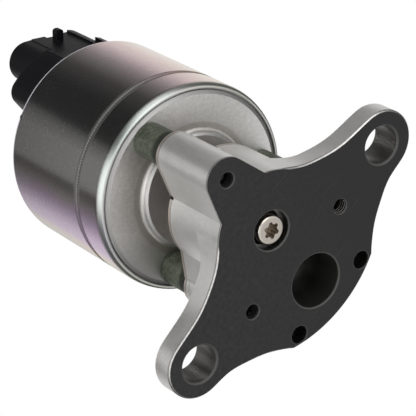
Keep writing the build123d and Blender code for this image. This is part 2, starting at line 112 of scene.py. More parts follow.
class ValveSizes(bpy.types.PropertyGroup):
    """Sizes of the details that are only in the picture model."""

    thread_pitch: bpy.props.FloatProperty(
        name="Thread pitch", description="Pitch of the tapped holes",
        subtype="DISTANCE", unit="LENGTH", default=0.8 * MM, min=0.3 * MM, max=1.5 * MM)
    thread_depth: bpy.props.FloatProperty(
        name="Thread depth", description="How far the thread stands into its hole",
        subtype="DISTANCE", unit="LENGTH", default=0.28 * MM, min=0.1 * MM, max=0.6 * MM)
    knurl_height: bpy.props.FloatProperty(
        name="Rolled line height", description="Height of the rolled line round the can",
        subtype="DISTANCE", unit="LENGTH", default=47.7 * MM, min=40 * MM, max=75 * MM)
    knurl_count: bpy.props.IntProperty(
        name="Rolled line marks", description="Marks in one row of the rolled line",
        default=230, min=60, max=400)


class ValveStudio(bpy.types.PropertyGroup):
    """Camera and light."""

    lens: bpy.props.FloatProperty(
        name="Lens", description="Focal length for a 36 mm sensor",
        default=182.866, min=35, max=300)
    key_power: bpy.props.FloatProperty(
        name="Key lamp", description="Large soft lamp over the camera",
        subtype="POWER", unit="POWER", default=4.2, min=0, max=200)
    side_power: bpy.props.FloatProperty(
        name="Side lamp", description="Soft lamp on the left",
        subtype="POWER", unit="POWER", default=3.3, min=0, max=200)
    rear_power: bpy.props.FloatProperty(
        name="Rear lamp", description="Weak soft lamp behind the left side",
        subtype="POWER", unit="POWER", default=0.14, min=0, max=200)
    room_level: bpy.props.FloatProperty(
        name="Room level", description="Strength of the plain light from all round",
        default=0.45, min=0, max=1)
    floor_size: bpy.props.FloatProperty(
        name="Floor size", description="Side of the square floor",
        subtype="DISTANCE", unit="LENGTH", default=3.0, min=0.5, max=10)


# Small helpers for node trees
def add(tree, kind, **values):
    """Adds a node and sets its properties."""
    node = tree.nodes.new(kind)
    for key, value in values.items():
        setattr(node, key, value)
    return node


def join(tree, value, target):
    """Feeds an input socket from another socket, or sets it to a plain value."""
    if isinstance(value, bpy.types.NodeSocket):
        tree.links.new(value, target)
    else:
        target.default_value = value


def maths(tree, operation, *values):
    """Adds a Math node and returns its output; each value is a socket or a number."""
    node = add(tree, "ShaderNodeMath", operation=operation)
    for value, socket in zip(values, node.inputs):
        join(tree, value, socket)
    return node.outputs[0]


def times(tree, first, second):
    """Product of two values."""
    return maths(tree, "MULTIPLY", first, second)


def length(tree, x, y):
    """Length of a flat vector."""
    return maths(tree, "SQRT", maths(tree, "ADD", times(tree, x, x), times(tree, y, y)))


def split(tree, vector):
    """Sockets with the X, Y and Z of a vector."""
    node = add(tree, "ShaderNodeSeparateXYZ")
    join(tree, vector, node.inputs[0])
    return node.outputs


def dot(tree, first, second):
    """Dot product of two vectors; the second may be three numbers."""
    node = add(tree, "ShaderNodeVectorMath", operation="DOT_PRODUCT")
    join(tree, first, node.inputs[0])
    join(tree, second, node.inputs[1])
    return node.outputs["Value"]


def across(tree, position, bearing, reach=1.0):
    """Distance from the valve's axis towards a bearing in degrees, as a share of a reach."""
    turn = math.radians(bearing)
    return dot(tree, position, (math.cos(turn) / reach, math.sin(turn) / reach, 0.0))


def remap(tree, value, low, high, to_low=0.0, to_high=1.0):
    """Maps a value from one range to another and holds it at both ends."""
    node = add(tree, "ShaderNodeMapRange")
    numbers = {"From Min": low, "From Max": high, "To Min": to_low, "To Max": to_high}
    for name, number in (("Value", value), *numbers.items()):
        join(tree, number, node.inputs[name])
    return node.outputs["Result"]


def line_at(tree, value, place, half_width, flat=0.6):
    """Mask that is 1 where a value is at a place and falls to 0 at half a width from it.

    It stays at 1 over the flat share of that width.
    """
    offset = maths(tree, "ABSOLUTE", maths(tree, "SUBTRACT", value, place))
    return remap(tree, offset, half_width, half_width * flat)


def mix_value(tree, factor, first, second):
    """Mixes two values."""
    node = add(tree, "ShaderNodeMix", data_type="FLOAT")
    for value, socket in ((factor, "Factor"), (first, 2), (second, 3)):
        join(tree, value, node.inputs[socket])
    return node.outputs[0]


def paint(tree, under, mask, over, share=1.0):
    """Lays a colour over another where a mask is 1; the share says how strongly."""
    node = add(tree, "ShaderNodeMix", data_type="RGBA")
    join(tree, mask if share == 1.0 else times(tree, mask, share), node.inputs["Factor"])
    for colour, socket in ((under, node.inputs[6]), (over, node.inputs[7])):
        join(tree, (*colour, 1.0) if isinstance(colour, tuple) else colour, socket)
    return node.outputs[2]


def ramp(tree, value, stops):
    """Colours that follow a value; each stop is a place and three numbers."""
    node = add(tree, "ShaderNodeValToRGB")
    join(tree, value, node.inputs["Fac"])
    elements = node.color_ramp.elements
    elements.remove(elements[1])
    for index, (place, colour) in enumerate(stops):
        stop = elements[0] if index == 0 else elements.new(place)
        stop.position = place
        stop.color = (*colour, 1.0)
    return node.outputs["Color"]


def noise(tree, position, scale, detail=2.0, roughness=0.5):
    """Noise texture; its scale is in features per metre."""
    node = add(tree, "ShaderNodeTexNoise")
    inputs = {"Vector": position, "Scale": scale, "Detail": detail, "Roughness": roughness}
    for name, value in inputs.items():
        join(tree, value, node.inputs[name])
    return node.outputs["Fac"]


def tinted(colour, tint):
    """A colour with each channel made lighter or darker."""
    return tuple(min(1.0, channel * share) for channel, share in zip(colour, tint))


def scaled(colour, factor):
    """A colour made lighter or darker."""
    return tinted(colour, (factor,) * 3)


# Shared shader groups
def new_group(name, outputs, **inputs):
    """Makes a shader group that reads a position and named numbers and puts out values.

    Returns it with the sockets that its nodes read from and those that they feed.
    """
    group = bpy.data.node_groups.new(name, "ShaderNodeTree")
    new_socket = group.interface.new_socket
    new_socket(name="Position", in_out="INPUT", socket_type="NodeSocketVector")
    for label, number in inputs.items():
        socket = new_socket(name=label.replace("_", " "), in_out="INPUT",
                            socket_type="NodeSocketFloat")
        socket.default_value = number
    for label in outputs:
        new_socket(name=label, in_out="OUTPUT", socket_type="NodeSocketFloat")
    return group, add(group, "NodeGroupInput").outputs, add(group, "NodeGroupOutput").inputs


def make_mottle_group():
    """Two sizes of cloudy marks, as on plating and oxide that have seen wear."""
    group, given, result = new_group(
        "Mottle", ("Mask",), Coarse=250.0, Fine=1500.0, Fine_share=0.5)
    coarse, fine = (noise(group, given["Position"], given[label], detail, roughness=0.6)
                    for label, detail in (("Coarse", 4.0), ("Fine", 3.0)))
    marks = mix_value(group, given["Fine share"], coarse, fine)
    join(group, remap(group, marks, 0.32, 0.68), result["Mask"])
    return group


def make_grain_group():
    """Fine pits and lumps of a cast or moulded skin."""
    group, given, result = new_group("Skin grain", ("Height",), Scale=2500.0)
    lumps = noise(group, given["Position"], given["Scale"], detail=4.0)
    cells = add(group, "ShaderNodeTexVoronoi", feature="F1")
    join(group, given["Position"], cells.inputs["Vector"])
    join(group, times(group, given["Scale"], 0.6), cells.inputs["Scale"])
    pits = remap(group, cells.outputs["Distance"], 0.05, 0.4)
    join(group, times(group, lumps, pits), result["Height"])
    return group


def make_wear_and_sheen_group():
    """Mask that is 1 along outer edges, where a surface rubs bright and where edges get a painted
    highlight.
    """
    group, given, result = new_group("Edge wear and sheen", ("Mask",), Radius=0.3 * MM)
    bevel = add(group, "ShaderNodeBevel", samples=6)
    join(group, given["Radius"], bevel.inputs["Radius"])
    surface = add(group, "ShaderNodeNewGeometry")
    agreement = dot(group, bevel.outputs["Normal"], surface.outputs["Normal"])
    edge = remap(group, agreement, 0.985, 0.86)
    keep = remap(group, noise(group, given["Position"], 900.0), 0.35, 0.6, 0.5, 1.0)
    join(group, times(group, edge, keep), result["Mask"])
    return group


def make_scratch_group():
    """Thin straight scratches that run in a few directions."""
    group, given, result = new_group("Scratches", ("Mask",), Density=0.5)
    total = 0.0
    for turn, thin, long in ((0.5, 2600.0, 45.0), (1.9, 2100.0, 60.0), (2.7, 3300.0, 80.0)):
        mapping = add(group, "ShaderNodeMapping")
        mapping.inputs["Rotation"].default_value = (0.0, 0.0, turn)
        mapping.inputs["Scale"].default_value = (long, thin, thin)
        join(group, given["Position"], mapping.inputs["Vector"])
        lines = remap(group, noise(group, mapping.outputs["Vector"], 1.0, detail=1.0), 0.71, 0.82)
        total = maths(group, "MAXIMUM", total, lines)
    join(group, times(group, total, given["Density"]), result["Mask"])
    return group


def make_ring_group():
    """Lathe marks round the valve's axis, and the distance from it."""
    group, given, result = new_group("Turned rings", ("Height", "Radius"), Rings_per_metre=4000.0)
    place = split(group, given["Position"])
    radius = length(group, place["X"], place["Y"])
    join(group, radius, result["Radius"])
    wander = add(group, "ShaderNodeTexNoise", noise_dimensions="1D")
    join(group, times(group, radius, given["Rings per metre"]), wander.inputs["W"])
    wander.inputs["Scale"].default_value = 1.0
    wander.inputs["Detail"].default_value = 3.0
    join(group, wander.outputs["Fac"], result["Height"])
    return group


def make_bore_group():
    """Mask that is 1 inside a round hole with a vertical axis and its mirror twin."""
    group, given, result = new_group(
        "Inside bore", ("Mask",), Centre_X=0.0, Centre_Y=0.0, Radius=5 * MM)
    place = split(group, given["Position"])
    side = maths(group, "SUBTRACT", maths(group, "ABSOLUTE", place["X"]), given["Centre X"])
    front = maths(group, "SUBTRACT", place["Y"], given["Centre Y"])
    inside = maths(group, "LESS_THAN", length(group, side, front), given["Radius"])
    join(group, inside, result["Mask"])
    return group


GROUPS = {}


# Helpers for materials
def use(tree, name, position, **inputs):
    """Places a shared group in a material and returns its outputs."""
    node = add(tree, "ShaderNodeGroup")
    node.node_tree = GROUPS[name]
    for label, value in (("Position", position), *inputs.items()):
        join(tree, value, node.inputs[label.replace("_", " ")])
    return node.outputs


def bore(tree, position, radius, x=0.0, y=0.0):
    """Mask that is 1 inside a round hole with a vertical axis and its mirror twin."""
    return use(tree, "Inside bore", position, Centre_X=x, Centre_Y=y, Radius=radius)["Mask"]


def start_material(name, metallic=1.0, roughness=0.5):
    """Makes a material and returns it with its tree, its shader and the object position."""
    material = bpy.data.materials.new(name)
    material.use_nodes = True
    tree = material.node_tree
    shader = tree.nodes["Principled BSDF"]
    shader.inputs["Metallic"].default_value = metallic
    shader.inputs["Roughness"].default_value = roughness
    position = add(tree, "ShaderNodeTexCoord").outputs["Object"]
    return material, tree, shader, position


def bump(tree, shader, height, distance):
    """Raises the surface by a height field; the distance is in metres."""
    node = add(tree, "ShaderNodeBump")
    node.inputs["Distance"].default_value = distance
    join(tree, height, node.inputs["Height"])
    join(tree, node.outputs["Normal"], shader.inputs["Normal"])


def dress(material, *names):
    """Gives a material to CAD nodes."""
    for name in names:
        for slot in NODES[name].material_slots:
            slot.material = material


def satin_metal(name, colour, roughness):
    """Metal with cloudy marks, a fine grain and slightly bright edges."""
    material, tree, shader, position = start_material(name)
    marks = use(tree, "Mottle", position, Coarse=180.0, Fine=1600.0)["Mask"]
    edge_wear_and_sheen = use(tree, "Edge wear and sheen", position, Radius=0.25 * MM)["Mask"]
    body = paint(tree, scaled(colour, 0.9), marks, colour)
    join(tree, paint(tree, body, edge_wear_and_sheen, scaled(colour, 1.25)), shader.inputs["Base Color"])
    rough = remap(tree, marks, 0, 1, roughness - 0.08, roughness + 0.08)
    join(tree, rough, shader.inputs["Roughness"])
    grain = use(tree, "Skin grain", position, Scale=2600.0)["Height"]
    bump(tree, shader, grain, 0.01 * MM)
    return material


def moulded_plastic(name, colour, roughness=0.42):
    """Moulded plastic with a fine spark-eroded skin, and edges painted lighter as wear and as a
    painted highlight.
    """
    material, tree, shader, position = start_material(name, metallic=0.0)
    shader.inputs["Specular IOR Level"].default_value = 0.08
    marks = use(tree, "Mottle", position, Coarse=120.0, Fine=900.0)["Mask"]
    edge_wear_and_sheen = use(tree, "Edge wear and sheen", position, Radius=0.3 * MM)["Mask"]
    body = paint(tree, colour, marks, scaled(colour, 1.3))
    join(tree, paint(tree, body, edge_wear_and_sheen, scaled(colour, 6.0)), shader.inputs["Base Color"])
    rough = remap(tree, marks, 0, 1, roughness - 0.05, roughness + 0.07)
    join(tree, rough, shader.inputs["Roughness"])
    grain = use(tree, "Skin grain", position, Scale=3500.0)["Height"]
    bump(tree, shader, grain, 0.015 * MM)
    return material


# Operators
class VALVE_OT_groups(bpy.types.Operator):
    """Builds the shader groups that the finishes share"""

    bl_idname = "valve.groups"
    bl_label = "Shared effects"

    def execute(self, context):
        makers = (make_mottle_group, make_grain_group, make_wear_and_sheen_group, make_scratch_group,
                  make_ring_group, make_bore_group)
        for make in makers:
            group = make()
            GROUPS[group.name] = group
        return {"FINISHED"}


class VALVE_OT_casting(bpy.types.Operator):
    """Finishes the base casting: satin metal, dark gasket face and bores with painted shade inside
    """

    bl_idname = "valve.casting"
    bl_label = "Base casting"

    def execute(self, context):
        looks = context.scene.valve_finishes
        metal, coat = tuple(looks.casting), tuple(looks.coat)
        material, tree, shader, position = start_material("Cast metal")
        shader.inputs["Specular IOR Level"].default_value = 0.3
        height = split(tree, position)["Z"]
        marks = use(tree, "Mottle", position, Coarse=140.0, Fine=1500.0)["Mask"]
        specks = use(tree, "Mottle", position, Coarse=700.0, Fine=3600.0)["Mask"]
        edge_wear_and_sheen = use(tree, "Edge wear and sheen", position, Radius=0.3 * MM)["Mask"]
        scratches = use(tree, "Scratches", position, Density=0.3)["Mask"]

        # Bare metal: its tinted rim with painted shade at its foot, the flange's rubbed edge,
        # painted shade in the notch corners and painted shade inside the bores
        cast = paint(tree, scaled(metal, 0.86), marks, metal)
        # Edges painted lighter: wear together with a painted highlight
        cast = paint(tree, cast, edge_wear_and_sheen, scaled(metal, 1.08))
        burnt = remap(tree, height, TINT_LINE + 0.05 * MM, TINT_LINE + 0.25 * MM)
        cast = paint(tree, cast, burnt, (0.56, 0.46, 0.39), 0.75)
        # Painted shade: a dark line along the foot of the tinted rim
        line = line_at(tree, height, TINT_LINE, 0.12 * MM)
        cast = paint(tree, cast, line, (0.16, 0.15, 0.14))
        rubbed = line_at(tree, height, 0.12 * MM, 0.16 * MM)
        bright = paint(tree, (0.32, 0.31, 0.30), specks, (0.90, 0.89, 0.88))
        cast = paint(tree, cast, rubbed, bright, 0.8)
        seam = line_at(tree, height, 0.42 * MM, 0.18 * MM)
        cast = paint(tree, cast, seam, (0.12, 0.115, 0.11), 0.8)
        # Painted shade: a dark spot in the concave corner where the screw lobe runs into the
        # chamber
        notch_shade = times(tree, bore(tree, position, 0.55 * MM, *NOTCH),
                    maths(tree, "GREATER_THAN", height, TINT_LINE - 0.45 * MM))
        cast = paint(tree, cast, notch_shade, (0.03, 0.028, 0.026))
        # Painted shade inside each hole of the gasket face
        bores = 0.0
        for x, y, radius, shade in FACE_HOLES:
            hole = bore(tree, position, radius, x, y)
            cast = paint(tree, cast, hole, (shade, shade * 0.98, shade * 0.95))
            bores = maths(tree, "MAXIMUM", bores, hole)

        # Dark coat on the gasket face; the mouths of the holes are painted lighter, a painted
        # highlight on their chamfers
        mouths = times(tree, bores, maths(tree, "LESS_THAN", height, MOUTH_TOP))
        face = maths(tree, "MAXIMUM", mouths, maths(tree, "LESS_THAN", height, FACE_TOP))
        dark = paint(tree, scaled(coat, 0.55), specks, scaled(coat, 1.55))
        # Painted light: the coat is lighter and more speckled towards the lower left, on the side
        # lamp's side
        side_light = remap(tree, across(tree, position, COAT_LIGHT_BEARING, 35 * MM), -0.9, 0.6)
        dark = paint(tree, scaled(coat, 0.85), side_light, dark)
        dark = paint(tree, dark, scratches, (0.09, 0.09, 0.09))
        # Painted highlight: the coat's edges, the chamfers round the holes, are painted lighter
        dark = paint(tree, dark, edge_wear_and_sheen, (0.16, 0.16, 0.16), 0.35)
        # Painted highlight on the chamfered mouths of the holes
        dark = paint(tree, dark, mouths, (0.12, 0.12, 0.115), 0.8)

        join(tree, paint(tree, cast, face, dark), shader.inputs["Base Color"])
        join(tree, remap(tree, face, 0, 1, 0.93, 0), shader.inputs["Metallic"])
        satin = remap(tree, marks, 0, 1, 0.36, 0.44)
        matte = maths(tree, "SUBTRACT", 0.56, times(tree, scratches, 0.2))
        join(tree, mix_value(tree, face, satin, matte), shader.inputs["Roughness"])
        grain = use(tree, "Skin grain", position, Scale=2300.0)["Height"]
        bump(tree, shader, grain, 0.02 * MM)
        dress(material, "base_casting")
        return {"FINISHED"}


class VALVE_OT_can(bpy.types.Operator):
    """Finishes the can: plating with painted dark reflections, a faint film of colour and the
    rolled line
    """

    bl_idname = "valve.can"
    bl_label = "Solenoid can"

    def execute(self, context):
        looks, sizes = context.scene.valve_finishes, context.scene.valve_sizes
        plating = tuple(looks.plating)
        material, tree, shader, position = start_material("Can plating")
        place = split(tree, position)
        height = place["Z"]
        marks = use(tree, "Mottle", position, Coarse=420.0, Fine=3200.0, Fine_share=0.7)["Mask"]

        # Film of colour, from the can's two outlines to the side that faces the camera
        facing = across(tree, position, VIEW_BEARING, CAN_RADIUS)
        warp = times(tree, maths(tree, "SUBTRACT", noise(tree, position, 35.0), 0.5), 0.22)
        film = maths(tree, "ADD", maths(tree, "ABSOLUTE", facing), warp)
        tints = ((0.0, (1.08, 0.92, 0.70)), (0.27, (1.14, 0.93, 0.76)), (0.42, (1.24, 0.94, 0.86)),
                 (0.56, (1.24, 0.93, 0.94)), (0.66, (1.20, 0.92, 0.97)), (0.76, (1.10, 0.93, 0.97)),
                 (0.84, (1.05, 0.97, 0.97)), (0.90, (0.99, 0.98, 0.98)), (1.0, (0.97, 0.97, 0.97)))
        body = ramp(tree, film, [(stop, tinted(plating, tint)) for stop, tint in tints])
        lower_side = across(tree, position, VIEW_BEARING - 90, CAN_RADIUS)
        lilac = times(tree, line_at(tree, film, 0.57, 0.24), remap(tree, lower_side, 0.1, 0.5))
        body = paint(tree, body, lilac, tinted(plating, (0.97, 0.70, 1.10)), 0.85)

        # Painted dark reflections, clouds and specks
        # Painted reflection: a dark band on the left towards the rear, where the plating mirrors
        # the dark room
        left_side = across(tree, position, DARK_BAND_BEARING, CAN_RADIUS)
        painted_dark_band = times(tree, remap(tree, height, 48 * MM, 82 * MM),
                     remap(tree, left_side, 0.6, 0.85))
        body = paint(tree, body, painted_dark_band, scaled(plating, 0.1), 0.42)
        # Painted reflection: a dark strip down the side that faces the camera
        painted_dark_strip = across(tree, position, VIEW_BEARING + 7, CAN_RADIUS)
        body = paint(tree, body, remap(tree, painted_dark_strip, 0.95, 0.985), scaled(plating, 0.3), 0.65)
        body = paint(tree, body, marks, scaled(plating, 0.5), 0.3)
        specks = use(tree, "Mottle", position, Coarse=1500.0, Fine=3600.0)["Mask"]
        body = paint(tree, body, remap(tree, specks, 0.60, 0.85), scaled(plating, 1.5), 0.3)

        # Rolled line: a groove painted dark as painted shade, with two rows of bright dots; and the
        # two rims, painted lighter as painted highlights
        groove = line_at(tree, height, sizes.knurl_height, 1.5 * MM)
        # Painted shade in the rolled groove, strongest on the sides towards and away from the
        # camera
        groove_shade = remap(tree, maths(tree, "ABSOLUTE", facing), 0.5, 0.85, 0.3, 0.88)
        body = paint(tree, body, times(tree, groove, groove_shade), scaled(plating, 0.24))
        # Painted highlight: the rounded rear rim is painted near white with a lilac tint
        rear_highlight = remap(tree, height, REAR_ROUND, REAR_ROUND + 0.6 * MM)
        body = paint(tree, body, rear_highlight, (0.86, 0.84, 0.92), 0.9)
        # The rounded front rim is painted lighter and mint green: its film tint together with a
        # painted highlight
        front = remap(tree, height, FRONT_ROUND, FRONT_ROUND - 0.8 * MM)
        body = paint(tree, body, front, (0.62, 0.68, 0.64), 0.7)
        angle = maths(tree, "ARCTAN2", place["Y"], place["X"])
        wave = maths(tree, "SINE", times(tree, angle, float(sizes.knurl_count)))
        spacing = remap(tree, wave, -0.1, 0.5)
        dots = 0.0
        for row in (-0.26 * MM, 0.26 * MM):
            line = line_at(tree, height, sizes.knurl_height + row, 0.16 * MM, flat=0.375)
            dots = maths(tree, "MAXIMUM", dots, times(tree, line, spacing))
        body = paint(tree, body, dots, (0.80, 0.78, 0.76), 0.45)

        # The folded bumps that stand out of the round wall are painted dark, as a painted shade
        round_wall = bore(tree, position, CAN_RADIUS + 0.04 * MM)
        body = paint(tree, scaled(plating, 0.12), round_wall, body)
        join(tree, body, shader.inputs["Base Color"])
        rough = remap(tree, marks, 0, 1, 0.17, 0.23)
        for mask, rise in ((groove, 0.42), (front, 0.18), (rear_highlight, 0.25)):
            rough = maths(tree, "ADD", rough, times(tree, mask, rise))
        join(tree, rough, shader.inputs["Roughness"])
        relief = maths(tree, "ADD", times(tree, marks, 0.05), dots)
        bump(tree, shader, relief, 0.03 * MM)
        dress(material, "solenoid_can")
        return {"FINISHED"}


class VALVE_OT_end_plate(bpy.types.Operator):
    """Finishes the end plate: satin steel with lathe marks"""

    bl_idname = "valve.end_plate"
    bl_label = "End plate"

    def execute(self, context):
        colour = tuple(context.scene.valve_finishes.end_plate)
        material, tree, shader, position = start_material("End plate steel")
        marks = use(tree, "Mottle", position, Coarse=900.0, Fine=2800.0)["Mask"]
        rings = use(tree, "Turned rings", position, Rings_per_metre=5200.0)
        edge_wear_and_sheen = use(tree, "Edge wear and sheen", position, Radius=0.3 * MM)["Mask"]
        body = paint(tree, scaled(colour, 0.78), marks, scaled(colour, 1.06))
        body = paint(tree, body, edge_wear_and_sheen, scaled(colour, 1.25))
        # Painted shade: the plate is darker on its lower side, away from the key lamp
        lower_side = across(tree, position, PLATE_SHADE_BEARING, CAN_RADIUS)
        body = paint(tree, body, remap(tree, lower_side, 0.55, 0.88), scaled(colour, 0.4))
        collar = bore(tree, position, COLLAR_RADIUS)
        body = paint(tree, body, collar, scaled(colour, 0.5), 0.4)
        # Painted shade in the hollow round the foot of the collar
        foot_shade = line_at(tree, rings["Radius"], COLLAR_FOOT, 1.5 * MM)
        body = paint(tree, body, foot_shade, (0.42, 0.38, 0.34), 0.4)
        # Painted shade on the bevelled border of the plate
        border = maths(tree, "SUBTRACT", 1.0, bore(tree, position, PLATE_BORDER))
        body = paint(tree, body, border, scaled(colour, 0.35), 0.7)
        join(tree, body, shader.inputs["Base Color"])
        rough = remap(tree, marks, 0, 1, 0.40, 0.50)
        rough = maths(tree, "ADD", rough, times(tree, border, 0.08))
        join(tree, rough, shader.inputs["Roughness"])
        bump(tree, shader, rings["Height"], 0.004 * MM)
        dress(material, "end_plate")
        return {"FINISHED"}


class VALVE_OT_spacers(bpy.types.Operator):
    """Finishes the three spacers: rough olive oxide"""

    bl_idname = "valve.spacers"
    bl_label = "Spacers"

    def execute(self, context):
        colour = tuple(context.scene.valve_finishes.spacer)
        material, tree, shader, position = start_material("Spacer oxide", metallic=0.55)
        height = split(tree, position)["Z"]
        marks = use(tree, "Mottle", position, Coarse=700.0, Fine=2200.0, Fine_share=0.45)["Mask"]
        body = paint(tree, scaled(colour, 0.3), marks, scaled(colour, 2.1))
        # Painted shade at the foot of each spacer, where it meets the casting
        foot_shade = remap(tree, height, SPACER_FOOT + 1.2 * MM, SPACER_FOOT)
        body = paint(tree, body, foot_shade, scaled(colour, 0.15), 0.8)
        join(tree, body, shader.inputs["Base Color"])
        join(tree, remap(tree, marks, 0, 1, 0.45, 0.68), shader.inputs["Roughness"])
        bump(tree, shader, marks, 0.06 * MM)
        dress(material, "spacer_a", "spacer_b", "spacer_c")
        return {"FINISHED"}


class VALVE_OT_pintle(bpy.types.Operator):
    """Finishes the pintle: turned stainless steel"""

    bl_idname = "valve.pintle"
    bl_label = "Pintle"

    def execute(self, context):
        colour = tuple(context.scene.valve_finishes.pintle)
        material, tree, shader, position = start_material("Pintle steel")
        height = split(tree, position)["Z"]
        marks = use(tree, "Mottle", position, Coarse=500.0, Fine=2500.0)["Mask"]
        rings = use(tree, "Turned rings", position, Rings_per_metre=9000.0)["Height"]
        body = paint(tree, scaled(colour, 0.92), marks, colour)
        nose = maths(tree, "LESS_THAN", height, PINTLE_FACE)
        body = paint(tree, body, nose, scaled(colour, 0.78))
        heat = remap(tree, height, 1.9 * MM, 3.2 * MM)
        body = paint(tree, body, heat, (0.24, 0.215, 0.19))
        recess = times(tree, bore(tree, position, 2.5 * MM),
                       maths(tree, "GREATER_THAN", height, PINTLE_FACE))
        body = paint(tree, body, recess, (0.36, 0.31, 0.26))
        join(tree, body, shader.inputs["Base Color"])
        dulled = times(tree, maths(tree, "MAXIMUM", nose, recess), 0.16)
        rough = maths(tree, "ADD", remap(tree, marks, 0, 1, 0.20, 0.28), dulled)
        join(tree, rough, shader.inputs["Roughness"])
        bump(tree, shader, rings, 0.006 * MM)
        dress(material, "pintle")
        return {"FINISHED"}


class VALVE_OT_sensor_cap(bpy.types.Operator):
    """Finishes the sensor cap, what is in its socket and what it covers"""

    bl_idname = "valve.sensor_cap"
    bl_label = "Sensor cap"

    def execute(self, context):
        colour = tuple(context.scene.valve_finishes.plastic)
        dress(moulded_plastic("Cap plastic", colour), "sensor_cap")
        inner = moulded_plastic("Sensor plastic", (0.10, 0.10, 0.10))
        dress(inner, "sensor_plunger", "sensor_wiper")
        dress(moulded_plastic("Sensor ceramic", (0.78, 0.78, 0.74), 0.5), "sensor_board")
        dress(satin_metal("Tinned terminal", (0.70, 0.69, 0.66), 0.3), *TINNED_METALS)
        return {"FINISHED"}


class VALVE_OT_inner_parts(bpy.types.Operator):
    """Finishes the parts inside the can and the valve body"""

    bl_idname = "valve.inner_parts"
    bl_label = "Inner parts"

    def execute(self, context):
        dress(satin_metal("Inner steel", (0.50, 0.49, 0.48), 0.36), *INNER_METALS)
        dress(satin_metal("Bush bronze", (0.46, 0.34, 0.20), 0.4), "stem_bush")
        dress(moulded_plastic("Seal rubber", (0.03, 0.03, 0.03), 0.6), "shaft_seal", "cap_seal")
        dress(moulded_plastic("Bobbin plastic", (0.70, 0.64, 0.52), 0.45), "bobbin")
        material, tree, shader, position = start_material("Coil copper", roughness=0.3)
        wire_step = 0.5 * MM
        wave = maths(tree, "SINE", times(tree, split(tree, position)["Z"], 2 * math.pi / wire_step))
        # Painted highlight and painted shade: the crowns of the windings are painted lighter, the
        # gaps between them darker
        crowns = remap(tree, wave, -1, 1)
        body = paint(tree, (0.22, 0.07, 0.02), crowns, (0.62, 0.24, 0.09))
        join(tree, body, shader.inputs["Base Color"])
        bump(tree, shader, crowns, 0.1 * MM)
        dress(material, "coil_winding")
        return {"FINISHED"}


class VALVE_OT_threads(bpy.types.Operator):
    """Models the thread in the three tapped holes of the gasket face"""

    bl_idname = "valve.threads"
    bl_label = "Tapped threads"

    def execute(self, context):
        (x_a, y_a), (x_b, y_b) = TAPPED_HOLES
        # Holes a and c get a darker copy of the thread steel, a painted shade for the holes that
        # lie in shade
        shaded_thread = satin_metal("Shaded thread", (0.05, 0.05, 0.05), 0.55)
        steel = satin_metal("Thread steel", (0.24, 0.23, 0.22), 0.4)
        pattern = self.wind_thread(context, context.scene.valve_sizes)
        for letter, x, y, thread_material in (("a", x_a, y_a, shaded_thread), ("b", x_b, y_b, steel),
                                     ("c", -x_b, y_b, shaded_thread)):
            bpy.ops.object.select_all(action="DESELECT")
            pattern.select_set(True)
            context.view_layer.objects.active = pattern
            bpy.ops.object.duplicate()
            thread = context.active_object
            thread.name = f"hole_thread_{letter}"
            bpy.ops.transform.translate(value=(x, y, 0))
            bpy.ops.object.transform_apply(location=True, rotation=True, scale=True)
            thread.data.materials.append(thread_material)
            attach(thread, "housing")
        bpy.data.objects.remove(pattern)
        return {"FINISHED"}

    def wind_thread(self, context, sizes):
        """Winds one thread round the valve's axis, to be copied into the holes."""
        first, last = 0.7 * MM, 3.5 * MM
        centre = (0, 0, first)
        ridge_radius = sizes.thread_depth * 0.62
        ridge_place = TAPPED_RADIUS - sizes.thread_depth * 0.4
        bpy.ops.object.select_all(action="DESELECT")
        bpy.ops.mesh.primitive_circle_add(
            vertices=3, radius=ridge_radius, fill_type="NOTHING", location=centre)
        thread = context.active_object
        bpy.ops.object.mode_set(mode="EDIT")
        bpy.ops.mesh.select_all(action="SELECT")
        bpy.ops.transform.rotate(value=math.pi / 2, orient_axis="X", center_override=centre)
        bpy.ops.transform.rotate(value=-math.pi / 2, orient_axis="Y", center_override=centre)
        bpy.ops.transform.translate(value=(ridge_place, 0, 0))
        bpy.ops.object.mode_set(mode="OBJECT")
        screw = thread.modifiers.new("Helix", "SCREW")
        screw.axis = "Z"
        screw.angle = 2 * math.pi
        screw.screw_offset = sizes.thread_pitch
        screw.iterations = int((last - first) / sizes.thread_pitch)
        screw.steps = screw.render_steps = 40
        bpy.ops.object.modifier_apply(modifier=screw.name)
        bpy.ops.object.mode_set(mode="EDIT")
        bpy.ops.mesh.select_all(action="SELECT")
        bpy.ops.mesh.fill_holes(sides=4)
        bpy.ops.mesh.select_all(action="SELECT")
        bpy.ops.mesh.normals_make_consistent(inside=False)
        bpy.ops.object.mode_set(mode="OBJECT")
        return thread


